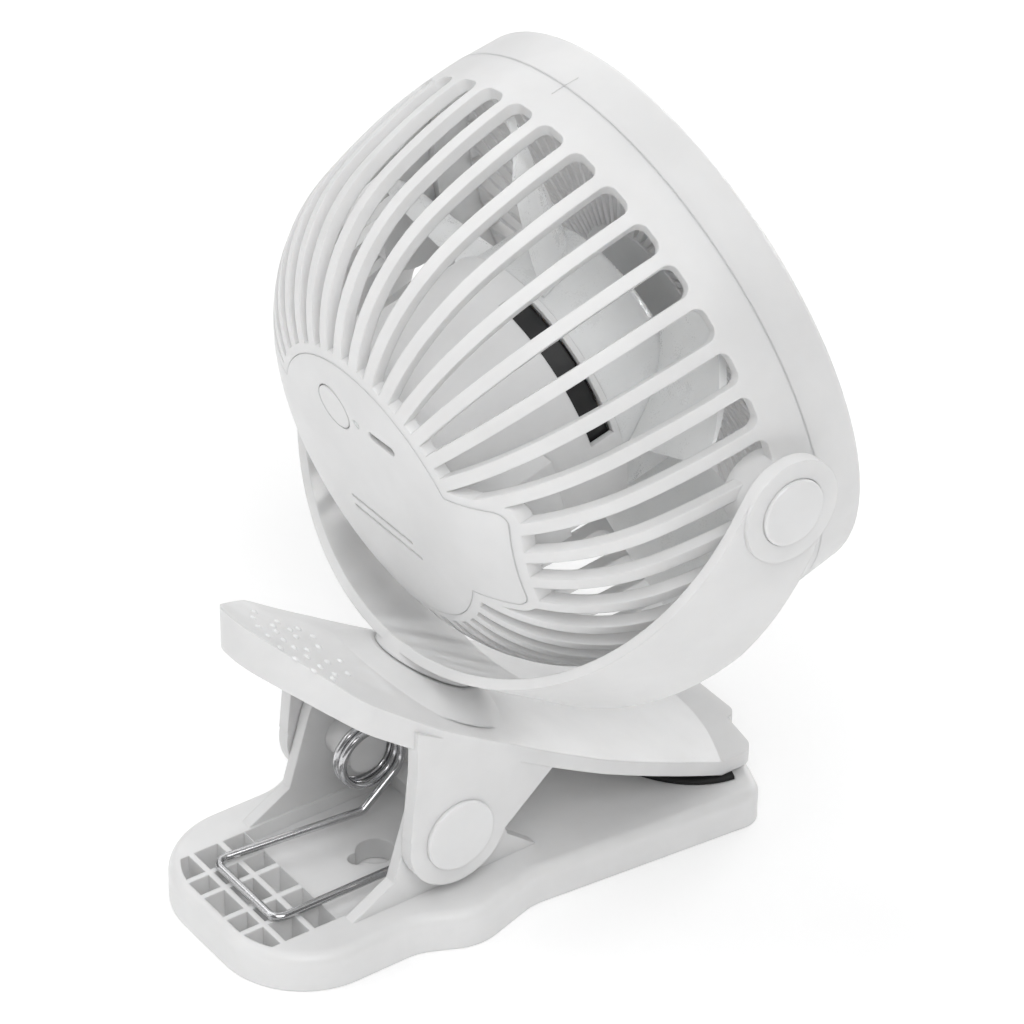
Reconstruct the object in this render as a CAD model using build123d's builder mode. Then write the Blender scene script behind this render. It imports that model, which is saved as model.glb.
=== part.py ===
from build123d import *
from math import asin, cos, degrees, radians, sin, sqrt, tan
import os

# A small rechargeable clip fan. A domed head with a slotted rear shell tilts in a U-shaped yoke, the
# yoke swivels on the upper jaw of a sprung clip, and the lower jaw is the foot that it stands on.
#
# Frame: millimetres, +Z up, X along the clip's pivot, +Y towards the handle, air blown towards -Y.
# The origin is on the desk, straight below the clip's pivot.
os.makedirs("parts", exist_ok=True)

# ---- driving dimensions: joint axes -------------------------------------------------------------
pivot_height = 25.0  # clip pivot above the desk
seat_y, seat_z = -8.71, 52.84  # middle of the seat that the yoke turns on
head_tilt = 15.0  # air is blown this far above level
yoke_lean = 32.0  # the yoke leans forward from upright
running_clearance = 0.06  # a pin in its eye, on the radius
part_gap = 0.3  # between faces that move past each other
seat_gap = 0.1  # between faces that are fitted together

# ---- driving dimensions: head -------------------------------------------------------------------
head_radius = 67.5  # at the seam
seam_s = 11.9  # seam ahead of the tilt axis
side_arc, side_angle = 130.0, 16.7  # gentle arc of the dome's side
shoulder_arc = 42.3  # rounder arc of its shoulder
shell_wall = 2.8
slot_count = 40
slot_rib = 3.0  # width of a rib between two slots
slot_end_s = 2.5  # rounded slot tips, ahead of the tilt axis
slot_corner = 2.4
slot_tip_depth = 10.0  # of the cut that rounds the tips, from the dome's skin
ring_front_s = 23.4
ring_front_radius = head_radius - 0.5
ring_wall = 2.2
ring_edge = 1.3
seam_groove = 0.15
lap_length = 3.0

panel_radius = 32.5
panel_wing = 43.5  # half the width across the panel's wings
panel_wing_low, panel_wing_high = -11.5, 14.5
panel_shoulder = 5.0
panel_wall = 1.5
panel_margin = 2.2  # solid rim between the panel and the slots
thumb_grooves = ((-9.0, -11.3, 11.6), (-12.0, -14.0, 11.5))  # height, left end and right end
groove_width, groove_depth = 0.9, 0.7

cup_radius = 31.0
cup_wall = 1.6
cup_front_s = -11.0
window_front_s, window_rear_s = -12.5, -18.5
window_count = 3
window_angle, window_middle = 70.0, 136.5  # span, and middle of the first

battery_radius, battery_length = 9.1, 65.0
battery_v, battery_s = 1.5, -42.3
bay_wall = 1.2
contact_room = 1.8

board_rear_s = -46.8
board_wall = 1.6
board_left, board_right = -16.4, 13.8
board_low, board_high = 12.9, 24.0
board_post_radius = 1.2
board_posts = (
    (board_left + 2.5, board_low + 2),
    (board_right - 1.4, board_low + 1.4),
    (-4.0, board_high - 1.4),
)

row_v = 19.5  # the button, the lamp and the socket sit in one row
button_x, button_radius, button_travel = 7.0, 5.2, 0.5
button_flange = 6.1
lamp_x, lamp_radius = -1.4, 0.9
socket_x, socket_width, socket_height = -10.7, 9.2, 2.2
socket_depth = 6.0
switch_side, switch_body = 6.0, 3.1
switch_plunger_radius, switch_plunger = 1.6, 0.6

motor_plate = 2.0
motor_radius = 28.8
motor_front_s = -12.6
motor_wall = 1.4
stator_radius, stator_length = 13.0, 11.0
shaft_radius = 1.5
bearing_radius, bearing_length = 3.6, 4.0

impeller_hub_radius = 29.5
impeller_hub_rear_s, impeller_hub_front_s = cup_front_s + part_gap, 9.0
impeller_hub_wall = 1.8
blade_count = 5
blade_tip_radius = head_radius - 7.0
blade_wall = 1.8
blade_camber = 0.16
blade_sweep = 10.0
blade_root_pitch, blade_tip_pitch = 42.0, 24.0
blade_root_chord, blade_tip_chord = 27.0, 40.0

fin_count = 60
fin_width = 1.3
fin_depth = 3.0
fin_front_s = 22.4
fin_skew = 28.0  # fins lean away from the radius
grille_centre_radius = 21.0
grille_centre_proud = 0.4  # the bare disc stands out this far from the fins
grille_rim_width = 2.4

# ---- driving dimensions: yoke -------------------------------------------------------------------
yoke_inner_half = head_radius + 3.4
yoke_inner_depth = head_radius + 4.9
yoke_straight = 5.0
yoke_wall = 2.4
yoke_band_rear, yoke_band_front = 11.6, 17.0
eye_radius = 12.0
eye_wall = 3.3
tilt_boss_radius = 8.5
tilt_washer_wall = 0.9
tilt_screw_radius = 2.5
tilt_screw_head = 4.4
tilt_cap_radius = 7.65
tilt_cap_face = yoke_inner_half + eye_wall + 0.8  # half the width over the caps
cap_wall = 1.2
cap_seat = 2.4  # depth of the cap's seat in the eye
swivel_disc_radius, swivel_disc_wall = 12.0, 1.5
swivel_disc_depth = yoke_inner_depth + yoke_wall + swivel_disc_wall  # its underside
swivel_stub_radius = 6.0
swivel_plate = 6.2
swivel_screw_radius = 1.5
swivel_screw_reach = 6.0
swivel_washer_radius, swivel_washer_wall = 9.0, 1.2

# ---- driving dimensions: upper jaw --------------------------------------------------------------
lever_arc = 425.0  # the lever is bowed along this arc
lever_arc_y, lever_arc_z = -231.0, 409.0
lever_crown = 2.2  # its middle stands above its edges
lever_wall = 2.4
lever_skirt_handle, lever_skirt_mouth = 6.2, 3.9
lever_half = 26.0
lever_mouth_half = 28.0
lever_handle_end = 41.5
lever_mouth_end = -81.5
nose_half, nose_end = 15.0, -86.8
nose_top, nose_bottom = 14.2, 10.6
nose_root = -72.5
skirt_change_y = -18.0  # the skirt is shallower ahead of this
skirt_steps = 10
cheek_inner, cheek_outer = 22.5, 26.0
cheek_radius = 13.0
cheek_outline = (
    (11.0, 57.0),
    (11.2, 45.0),
    (12.9, 28.0),
    (0, 25.0),
    (-12.4, 21.1),
    (-25.0, 32.1),
    (-27.0, 34.5),
)
clip_cap_radius, clip_cap_wall = 8.7, 1.1
pivot_pin_radius = 2.5
lever_tip_fillet = 9.0
seat_radius, seat_flare, seat_height = 13.0, 65.0, 4.2  # top, slope in degrees, height

# ---- driving dimensions: lower jaw --------------------------------------------------------------
base_height = 9.2
base_wall = 2.5
base_rear, base_half = 50.3, 29.5
base_rear_corner = 21.0
base_mouth_corner = -77.5
hip_rear_y, hip_y, hip_front_y, hip_front_half = 13.2, 0.6, -17.0, 30.5
hip_arc = 14.0
base_mouth_half, base_mouth_end = 36.2, -86.0
base_hip_half = 35.5  # corner of the hip, before it is rounded
base_edge = 2.6
pocket_half = 18.6
pocket_floor = 5.5
pocket_front = -12.0
grid_front = 27.5
cell_floor = 2.2
cell_rib = 1.4
cell_columns = (-19.6, -11.0, -4.6, 4.6, 11.0, 19.6)  # middles of the ribs between the cells
cell_rows = (27.0, 34.0, 41.6, 49.5)
keyhole_radius, keyhole_slot = 4.5, 4.2
keyhole_y, keyhole_end = 4.7, 10.7
ear_inner, ear_outer = 19.2, 22.2
ear_outline = ((-9.0, 38.0), (8.0, 38.0), (14.8, 15.5), (27.0, 8.5), (-24.5, 8.5), (-15.8, 15.5))
spring_boss_radius = 5.0
spring_boss_end, plain_boss_end = 9.5, 14.6
pin_inner_end = 15.2

# ---- driving dimensions: spring and pads --------------------------------------------------------
wire_radius = 1.0
coil_radius = 7.7
coil_near, coil_far = 6.8, 11.9
wire_to_jaw = 0.1
coil_turns = 2  # whole turns
upper_leg_slope, lower_leg_slope = 50.7, 37.0
lower_leg_dip_y, lower_leg_end_y = 3.8, 39.5
upper_leg_end_y = 24.0
leg_half = 12.5
upper_leg_return, lower_leg_return = 10.0, 31.0
leg_bend = 2.6
pad_half, pad_depth = 29.5, 23.0
pad_y = -77.0
pad_recess, pad_proud = 0.8, 1.1

# ---- frames -------------------------------------------------------------------------------------
tilt, lean = radians(head_tilt), radians(yoke_lean)
yoke_up = Vector(0, -sin(lean), cos(lean))
yoke_back = Vector(0, cos(lean), sin(lean))
swivel_top = swivel_disc_depth + part_gap  # of the seat, below the tilt axis
head_origin = Vector(0, seat_y, seat_z) + yoke_up * swivel_top
outlet = Vector(0, -cos(tilt), sin(tilt))
head_up = Vector(0, sin(tilt), cos(tilt))
head_axis = Axis(head_origin, outlet)
across_head = Plane(head_origin, x_dir=(1, 0, 0), z_dir=outlet)  # x, up the head, ahead
along_head = Plane(head_origin, x_dir=(1, 0, 0), z_dir=-head_up)  # radius, ahead

along_yoke = Plane(head_origin, x_dir=(1, 0, 0), z_dir=-yoke_back)  # x, up the yoke
across_yoke = Plane(head_origin, x_dir=(1, 0, 0), z_dir=-yoke_up)  # z runs down the yoke
side_of_yoke = Plane(head_origin, x_dir=yoke_back, z_dir=(1, 0, 0))  # back, up the yoke

pivot = Vector(0, 0, pivot_height)


def station(s):
    """Plane across the head, this far ahead of the tilt axis."""
    return across_head.offset(s)


def below_yoke(depth):
    """Plane across the swivel axis, this far below the tilt axis."""
    return across_yoke.offset(depth)


# ---- head: dome -----------------------------------------------------------------------------------
hub_flat_s = seam_s - side_arc * sin(radians(side_angle)) - shoulder_arc * (1 - sin(radians(side_angle)))


def dome_section(inset):
    """Half section of all that lies inside the dome's outer skin, set in by this much."""
    with BuildSketch(along_head) as section:
        with BuildLine():
            flank = JernArc((head_radius - inset, seam_s), (0, -1), side_arc - inset, -side_angle)
            shoulder = JernArc(flank @ 1, flank % 1, shoulder_arc - inset, side_angle - 90)
            Polyline(shoulder @ 1, (0, (shoulder @ 1).Y), (0, seam_s), flank @ 0)
        make_face()
    return section.sketch


def panel_plan(grow):
    """Outline of the rear panel: a disc with a wing on each side, grown by this much."""
    wing_height = panel_wing_high - panel_wing_low
    with BuildSketch(station(0)) as plan:
        Circle(panel_radius + grow)
        with Locations((0, (panel_wing_high + panel_wing_low) / 2)):
            Rectangle(2 * (panel_wing + grow), wing_height + 2 * grow)
        corners = plan.vertices().filter_by(lambda v: abs(v.X) > panel_wing - 1)
        shoulders = plan.vertices().filter_by(lambda v: abs(v.X) < panel_wing - 1)
        fillet(corners, 3.0 + grow)
        fillet(shoulders, panel_shoulder - grow)
    return plan.sketch


def slot_wedges(s, inner_r):
    """All the slots in the plane at s, from this radius outwards, between ribs of even width."""
    half_pitch = radians(180 / slot_count)
    outer_r = head_radius + slot_rib
    inner_half = inner_r * tan(half_pitch) - slot_rib / 2 / cos(half_pitch)
    outer_half = outer_r * tan(half_pitch) - slot_rib / 2 / cos(half_pitch)
    with BuildSketch(station(s)) as wedges:
        with PolarLocations(0, slot_count):
            Polygon(
                (inner_r, -inner_half),
                (outer_r, -outer_half),
                (outer_r, outer_half),
                (inner_r, inner_half),
                align=None,
            )
    return wedges.sketch


tip_root_s = slot_end_s - 2 * slot_corner
with BuildPart() as slot_tips:
    extrude(slot_wedges(tip_root_s, head_radius - slot_tip_depth), amount=slot_end_s - tip_root_s)
    tip_sides = slot_tips.edges().filter_by(
        lambda e: abs(across_head.to_local_coords(e.center()).Z - slot_end_s) < 0.01
        and abs(e.length - slot_tip_depth) < slot_rib + 1
    )
    fillet(tip_sides, slot_corner)

with BuildPart() as slots:
    extrude(slot_wedges(hub_flat_s, panel_radius + panel_margin), amount=tip_root_s - hub_flat_s)
    add(slot_tips.part)
    extrude(panel_plan(panel_margin), amount=2 * hub_flat_s, mode=Mode.SUBTRACT)

# The hub's inside: a cup for the motor, a bay for the battery and posts for the circuit board.
bay_half_x = battery_length / 2 + contact_room
bay_half_v = battery_radius + 0.4
bay_front_s = battery_s + battery_radius + 0.4
plate_rear_s = bay_front_s
plate_front_s = plate_rear_s + motor_plate
with BuildPart() as hub_core:
    with BuildSketch(station(hub_flat_s)):
        Circle(cup_radius)
    extrude(amount=cup_front_s - hub_flat_s)
    with BuildSketch(station(hub_flat_s)):
        Circle(cup_radius - cup_wall)
    extrude(amount=plate_rear_s - hub_flat_s, mode=Mode.SUBTRACT)
    with BuildSketch(station(plate_front_s)):
        Circle(cup_radius - cup_wall)
    extrude(amount=cup_front_s - plate_front_s, mode=Mode.SUBTRACT)
    with BuildSketch(station(hub_flat_s)):
        with Locations((0, battery_v)):
            Rectangle(2 * (bay_half_x + bay_wall), 2 * (bay_half_v + bay_wall))
    extrude(amount=plate_front_s - hub_flat_s)
    with BuildSketch(station(hub_flat_s)):
        with Locations((0, battery_v)):
            Rectangle(2 * bay_half_x, 2 * bay_half_v)
    extrude(amount=bay_front_s - hub_flat_s, mode=Mode.SUBTRACT)
    with BuildSketch(station(hub_flat_s)):
        with Locations(*board_posts):
            Circle(board_post_radius)
    extrude(amount=board_rear_s - hub_flat_s)
    with BuildSketch(station(window_rear_s)) as windows:
        with PolarLocations(0, window_count, start_angle=window_middle):
            reach = 2 * cup_radius * cos(radians(window_angle / 2))
            spread = 2 * cup_radius * sin(radians(window_angle / 2))
            Polygon((0, 0), (reach, -spread), (reach, spread), align=None)
        Circle(cup_radius - cup_wall, mode=Mode.SUBTRACT)
    extrude(amount=window_front_s - window_rear_s, mode=Mode.SUBTRACT)
    revolve(dome_section(0.7 * shell_wall), axis=head_axis, mode=Mode.INTERSECT)

with BuildPart() as panel_recess:
    revolve(dome_section(-1), axis=head_axis)
    revolve(dome_section(panel_wall + seat_gap), axis=head_axis, mode=Mode.SUBTRACT)
    extrude(panel_plan(seat_gap), amount=2 * hub_flat_s, mode=Mode.INTERSECT)

with BuildPart() as rear_shell:
    revolve(dome_section(0), axis=head_axis)
    revolve(dome_section(shell_wall), axis=head_axis, mode=Mode.SUBTRACT)
    add(slots.part, mode=Mode.SUBTRACT)
    add(hub_core.part)
    add(panel_recess.part, mode=Mode.SUBTRACT)
    with BuildSketch(station(hub_flat_s - 1)):
        with Locations((0, battery_v)):
            Rectangle(2 * bay_half_x, 2 * bay_half_v)
        with Locations((button_x, row_v)):
            Circle(button_flange + seat_gap + part_gap)
        with Locations((lamp_x, row_v)):
            Circle(lamp_radius + 0.6)
        with Locations((socket_x, row_v)):
            SlotOverall(socket_width + 1.6, socket_height + 2.4)
    extrude(amount=6.0, mode=Mode.SUBTRACT)
    for direction in (-1, 1):
        with BuildSketch(Plane(head_origin, z_dir=(direction, 0, 0)).offset(head_radius - 6)):
            Circle(tilt_boss_radius)
        extrude(amount=yoke_inner_half - part_gap - tilt_washer_wall - head_radius + 6)
        with BuildSketch(Plane(head_origin, z_dir=(direction, 0, 0)).offset(head_radius - 7)):
            Circle(tilt_screw_radius + seat_gap)
        extrude(amount=10, mode=Mode.SUBTRACT)
rear_shell.part.label = "rear_shell"
export_step(rear_shell.part, "parts/rear_shell.step")

with BuildPart() as panel_cover:
    revolve(dome_section(0), axis=head_axis)
    revolve(dome_section(panel_wall), axis=head_axis, mode=Mode.SUBTRACT)
    extrude(panel_plan(0), amount=2 * hub_flat_s, mode=Mode.INTERSECT)
    with BuildSketch(station(hub_flat_s - 1)):
        with Locations((button_x, row_v)):
            Circle(button_radius + part_gap)
        with Locations((lamp_x, row_v)):
            Circle(lamp_radius + seat_gap)
        with Locations((socket_x, row_v)):
            SlotOverall(socket_width, socket_height)
    extrude(amount=5.0, mode=Mode.SUBTRACT)
    for groove_v, groove_left, groove_right in thumb_grooves:
        with BuildSketch(station(hub_flat_s - 1)):
            with Locations(((groove_left + groove_right) / 2, groove_v)):
                SlotOverall(groove_right - groove_left, groove_width)
        extrude(amount=1 + groove_depth, mode=Mode.SUBTRACT)
panel_cover.part.label = "panel_cover"
export_step(panel_cover.part, "parts/panel_cover.step")

# ---- head: front ring and grille ------------------------------------------------------------------
lap_radius = head_radius - shell_wall - part_gap
with BuildPart() as front_grille:
    with BuildSketch(along_head):
        with BuildLine():
            Polyline(
                (head_radius, seam_s + seam_groove),
                (ring_front_radius, ring_front_s),
                (ring_front_radius - ring_wall, ring_front_s),
                (lap_radius - ring_wall, seam_s),
                (lap_radius - ring_wall, seam_s - lap_length),
                (lap_radius, seam_s - lap_length),
                (lap_radius, seam_s + seam_groove),
                close=True,
            )
        make_face()
    revolve(axis=head_axis)
    ring_rim = front_grille.edges().filter_by(
        lambda e: abs(across_head.to_local_coords(e.position_at(0)).Z - ring_front_s) < 0.01
    )
    fillet(ring_rim.sort_by(SortBy.LENGTH)[-1], ring_edge)
    rim_outer = ring_front_radius - ring_wall / 2
    rim_inner = rim_outer - grille_rim_width
    with BuildSketch(station(fin_front_s - fin_depth)):
        Circle(rim_outer)
        Circle(rim_inner, mode=Mode.SUBTRACT)
        with PolarLocations(grille_centre_radius - 1, fin_count):
            with Locations(Rotation(0, 0, fin_skew)):
                fin_reach = sqrt(rim_outer**2 - (grille_centre_radius * sin(radians(fin_skew))) ** 2)
                fin_length = fin_reach - grille_centre_radius * cos(radians(fin_skew)) - 0.5
                Rectangle(fin_length, fin_width, align=(Align.MIN, Align.CENTER))
    extrude(amount=fin_depth)
    with BuildSketch(station(fin_front_s - fin_depth - grille_centre_proud)):
        Circle(grille_centre_radius)
    extrude(amount=fin_depth + 2 * grille_centre_proud)
front_grille.part.label = "front_grille"
export_step(front_grille.part, "parts/front_grille.step")

# ---- head: what the hub holds -----------------------------------------------------------------------
with BuildPart() as battery_cell:
    with BuildSketch(Plane.YZ.offset(-battery_length / 2)):
        cell_centre = head_origin + head_up * battery_v + outlet * battery_s
        with Locations((cell_centre.Y, cell_centre.Z)):
            Circle(battery_radius)
    extrude(amount=battery_length)
    fillet(battery_cell.edges(), 0.8)
battery_cell.part.label = "battery_cell"
export_step(battery_cell.part, "parts/battery_cell.step")

with BuildPart() as battery_contacts:
    for direction in (-1, 1):
        cell_end = battery_length / 2 + seat_gap
        contact_face = Plane(cell_centre, x_dir=outlet, z_dir=(direction, 0, 0)).offset(cell_end)
        with BuildSketch(contact_face):
            Circle(2.5)
        extrude(amount=contact_room - 0.5)
        with BuildSketch(contact_face.offset(contact_room - 0.7)):
            Rectangle(2 * battery_radius - 4, 2 * battery_radius - 4)
        extrude(amount=0.5)
battery_contacts.part.label = "battery_contacts"
export_step(battery_contacts.part, "parts/battery_contacts.step")

with BuildPart() as circuit_board:
    with BuildSketch(station(board_rear_s)):
        with Locations(((board_left + board_right) / 2, (board_low + board_high) / 2)):
            Rectangle(board_right - board_left, board_high - board_low)
    extrude(amount=board_wall)
circuit_board.part.label = "circuit_board"
export_step(circuit_board.part, "parts/circuit_board.step")

socket_rear_s = hub_flat_s + panel_wall + part_gap
with BuildPart() as charging_socket:
    with BuildSketch(station(socket_rear_s)):
        with Locations((socket_x, row_v)):
            SlotOverall(socket_width + 0.4, socket_height + 1.0)
    extrude(amount=board_rear_s - socket_rear_s)
    with BuildSketch(station(socket_rear_s)):
        with Locations((socket_x, row_v)):
            SlotOverall(socket_width - 0.6, socket_height + 0.3)
            Rectangle(socket_width - 3.0, 0.7, mode=Mode.SUBTRACT)
    extrude(amount=socket_depth, mode=Mode.SUBTRACT)
charging_socket.part.label = "charging_socket"
export_step(charging_socket.part, "parts/charging_socket.step")

with BuildPart() as status_lamp:
    with BuildSketch(station(hub_flat_s)):
        with Locations((lamp_x, row_v)):
            Circle(lamp_radius)
    extrude(amount=board_rear_s - hub_flat_s)
status_lamp.part.label = "status_lamp"
export_step(status_lamp.part, "parts/status_lamp.step")

with BuildPart() as button_switch:
    with BuildSketch(station(board_rear_s)):
        with Locations((button_x, row_v)):
            Rectangle(switch_side, switch_side)
    extrude(amount=-switch_body)
    with BuildSketch(station(board_rear_s - switch_body)):
        with Locations((button_x, row_v)):
            Circle(switch_plunger_radius)
    extrude(amount=-switch_plunger)
button_switch.part.label = "button_switch"
export_step(button_switch.part, "parts/button_switch.step")

button_flange_s = hub_flat_s + panel_wall + 2 * part_gap  # clear of the panel's curved back
with BuildPart() as power_button:
    with BuildSketch(station(hub_flat_s)):
        with Locations((button_x, row_v)):
            Circle(button_radius)
    extrude(amount=button_flange_s - hub_flat_s)
    with BuildSketch(station(button_flange_s)):
        with Locations((button_x, row_v)):
            Circle(button_flange)
    extrude(amount=0.9)
    stem_end_s = board_rear_s - switch_body - switch_plunger - button_travel - seat_gap
    with BuildSketch(station(button_flange_s)):
        with Locations((button_x, row_v)):
            Circle(switch_plunger_radius)
    extrude(amount=stem_end_s - button_flange_s)
power_button.part.label = "power_button"
export_step(power_button.part, "parts/power_button.step")

# ---- head: motor ------------------------------------------------------------------------------------
motor_rear_s = plate_front_s
with BuildPart() as motor_housing:
    with BuildSketch(station(motor_rear_s)):
        Circle(motor_radius)
    extrude(amount=motor_front_s - motor_rear_s)
    with BuildSketch(station(motor_rear_s)):
        Circle(motor_radius - motor_wall)
        Circle(bearing_radius + motor_wall, mode=Mode.SUBTRACT)
    extrude(amount=motor_front_s - motor_wall - motor_rear_s, mode=Mode.SUBTRACT)
    with BuildSketch(station(motor_rear_s)):
        Circle(bearing_radius + seat_gap / 2)
    extrude(amount=motor_front_s - motor_rear_s, mode=Mode.SUBTRACT)
motor_housing.part.label = "motor_housing"
export_step(motor_housing.part, "parts/motor_housing.step")

with BuildPart() as motor_stator:
    with BuildSketch(station(motor_front_s - motor_wall - seat_gap)):
        Circle(stator_radius)
        Circle(bearing_radius + motor_wall + seat_gap, mode=Mode.SUBTRACT)
        with PolarLocations((stator_radius + bearing_radius + motor_wall) / 2 + 3.0, 6):
            Rectangle(7.0, 1.6, mode=Mode.SUBTRACT)
    extrude(amount=-stator_length)
motor_stator.part.label = "motor_stator"
export_step(motor_stator.part, "parts/motor_stator.step")

with BuildPart() as motor_bearing:
    with BuildSketch(station(motor_front_s)):
        Circle(bearing_radius)
        Circle(shaft_radius + running_clearance, mode=Mode.SUBTRACT)
    extrude(amount=-bearing_length)
motor_bearing.part.label = "motor_bearing"
export_step(motor_bearing.part, "parts/motor_bearing.step")

# ---- rotor ------------------------------------------------------------------------------------------
shaft_front_s = impeller_hub_front_s - impeller_hub_wall - 1.0
with BuildPart() as motor_shaft:
    with BuildSketch(station(motor_rear_s + part_gap)):
        Circle(shaft_radius)
    extrude(amount=shaft_front_s - motor_rear_s - part_gap)
motor_shaft.part.label = "motor_shaft"
export_step(motor_shaft.part, "parts/motor_shaft.step")


def blade_section(radius):
    """Curved section of a blade, this far from the shaft."""
    share = (radius - impeller_hub_radius) / (blade_tip_radius - impeller_hub_radius)
    pitch = radians(blade_root_pitch + share * (blade_tip_pitch - blade_root_pitch))
    half = (blade_root_chord + share * (blade_tip_chord - blade_root_chord)) / 2
    camber = half * blade_camber
    ahead = Vector(sin(pitch), cos(pitch))
    normal = Vector(cos(pitch), -sin(pitch))
    middle = Vector((impeller_hub_rear_s + impeller_hub_front_s) / 2, blade_sweep * share)
    with BuildSketch(Plane(head_origin + head_up * radius, x_dir=outlet, z_dir=head_up)) as section:
        with BuildLine():
            nose = middle - ahead * half
            tail = middle + ahead * half
            face = ThreePointArc(nose, middle + normal * camber, tail)
            ThreePointArc(tail, middle + normal * (camber + blade_wall), nose)
        make_face()
    return section.sketch


with BuildPart() as blade:
    root_radius = impeller_hub_radius - impeller_hub_wall / 2
    middle_radius = (impeller_hub_radius + blade_tip_radius) / 2
    past_tip = blade_tip_radius + blade_sweep
    loft([blade_section(root_radius), blade_section(middle_radius), blade_section(past_tip)])
    with BuildSketch(station(impeller_hub_rear_s - blade_tip_chord)):
        Circle(blade_tip_radius)
    extrude(amount=3 * blade_tip_chord, mode=Mode.INTERSECT)

with BuildPart() as impeller:
    with BuildSketch(station(impeller_hub_rear_s)):
        Circle(impeller_hub_radius)
    extrude(amount=impeller_hub_front_s - impeller_hub_rear_s)
    fillet(impeller.edges().sort_by(lambda e: -across_head.to_local_coords(e.center()).Z)[0], 4.0)
    with BuildSketch(station(impeller_hub_rear_s)):
        Circle(impeller_hub_radius - impeller_hub_wall)
        Circle(2.5 * shaft_radius, mode=Mode.SUBTRACT)
    extrude(amount=impeller_hub_front_s - impeller_hub_wall - impeller_hub_rear_s, mode=Mode.SUBTRACT)
    with BuildSketch(station(impeller_hub_rear_s)):
        Circle(shaft_radius + 0.02)
    extrude(amount=shaft_front_s - impeller_hub_rear_s + 0.2, mode=Mode.SUBTRACT)
    for index in range(blade_count):
        add(blade.part.rotate(head_axis, 360 / blade_count * index))
impeller.part.label = "impeller"
export_step(impeller.part, "parts/impeller.step")

# ---- yoke ---------------------------------------------------------------------------------------------
yoke_bottom = yoke_inner_depth + yoke_wall
stub_end = swivel_top + swivel_plate + part_gap


def yoke_outline(grow):
    """The U of the yoke seen from behind, filled in; grown outwards by this much."""
    half, depth = yoke_inner_half + grow, yoke_inner_depth + grow - yoke_straight
    with BuildSketch(along_yoke) as outline:
        with BuildLine():
            EllipticalCenterArc((0, -yoke_straight), half, depth, start_angle=180, arc_size=180)
            Polyline((half, -yoke_straight), (half, eye_radius), (-half, eye_radius), (-half, -yoke_straight))
        make_face()
    return outline.sketch


with BuildPart() as yoke:
    extrude(yoke_outline(yoke_wall), amount=2 * eye_radius, both=True)
    extrude(yoke_outline(0), amount=3 * eye_radius, both=True, mode=Mode.SUBTRACT)
    with BuildSketch(side_of_yoke):
        with BuildLine():
            Polyline(
                (eye_radius, 0),
                (yoke_band_rear, -yoke_inner_depth / 2),
                (yoke_band_rear, -yoke_bottom - 1),
                (-yoke_band_front, -yoke_bottom - 1),
                (-yoke_band_front, -yoke_inner_depth / 2),
                (-eye_radius, 0),
                close=True,
            )
        make_face()
        Circle(eye_radius)
    extrude(amount=2 * head_radius, both=True, mode=Mode.INTERSECT)
    for direction in (-1, 1):
        arm = Plane(head_origin, z_dir=(direction, 0, 0))
        with BuildSketch(arm.offset(yoke_inner_half)):
            Circle(eye_radius)
        extrude(amount=eye_wall)
        with BuildSketch(arm.offset(yoke_inner_half + eye_wall - cap_seat)):
            Circle(tilt_cap_radius + seat_gap)
        extrude(amount=eye_wall, mode=Mode.SUBTRACT)
        with BuildSketch(arm.offset(yoke_inner_half - 1)):
            Circle(tilt_screw_radius + running_clearance)
        extrude(amount=eye_wall + 2, mode=Mode.SUBTRACT)
    with BuildSketch(below_yoke(yoke_bottom - yoke_wall)):
        Circle(swivel_disc_radius)
    extrude(amount=swivel_disc_depth - yoke_bottom + yoke_wall)
    extrude(yoke_outline(0), amount=3 * eye_radius, both=True, mode=Mode.SUBTRACT)
    with BuildSketch(below_yoke(yoke_bottom - yoke_wall / 2)):
        Circle(swivel_stub_radius)
    extrude(amount=stub_end - yoke_bottom + yoke_wall / 2)
    with BuildSketch(below_yoke(stub_end)):
        Circle(swivel_screw_radius + seat_gap / 2)
    extrude(amount=-swivel_screw_reach, mode=Mode.SUBTRACT)
yoke.part.label = "yoke"
export_step(yoke.part, "parts/yoke.step")

for name, direction in (("tilt_cap_left", -1), ("tilt_cap_right", 1)):
    with BuildPart() as tilt_cap:
        cap_floor = yoke_inner_half + eye_wall - cap_seat
        with BuildSketch(Plane(head_origin, z_dir=(direction, 0, 0)).offset(cap_floor)):
            Circle(tilt_cap_radius)
        extrude(amount=tilt_cap_face - cap_floor)
        fillet(tilt_cap.edges().sort_by(Axis.X)[-1 if direction > 0 else 0], 0.5)
        with BuildSketch(Plane(head_origin, z_dir=(direction, 0, 0)).offset(cap_floor)):
            Circle(tilt_cap_radius - cap_wall)
        extrude(amount=tilt_cap_face - cap_wall - cap_floor, mode=Mode.SUBTRACT)
    tilt_cap.part.label = name
    export_step(tilt_cap.part, f"parts/{name}.step")

with BuildPart() as tilt_screws:
    for direction in (-1, 1):
        bolt = Plane(head_origin, z_dir=(direction, 0, 0))
        with BuildSketch(bolt.offset(head_radius - 5)):
            Circle(tilt_screw_radius)
        extrude(amount=cap_floor + part_gap - head_radius + 5)
        with BuildSketch(bolt.offset(cap_floor + part_gap)):
            Circle(tilt_screw_head)
        extrude(amount=tilt_cap_face - cap_wall - part_gap - cap_floor - part_gap)
tilt_screws.part.label = "tilt_screws"
export_step(tilt_screws.part, "parts/tilt_screws.step")

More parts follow.
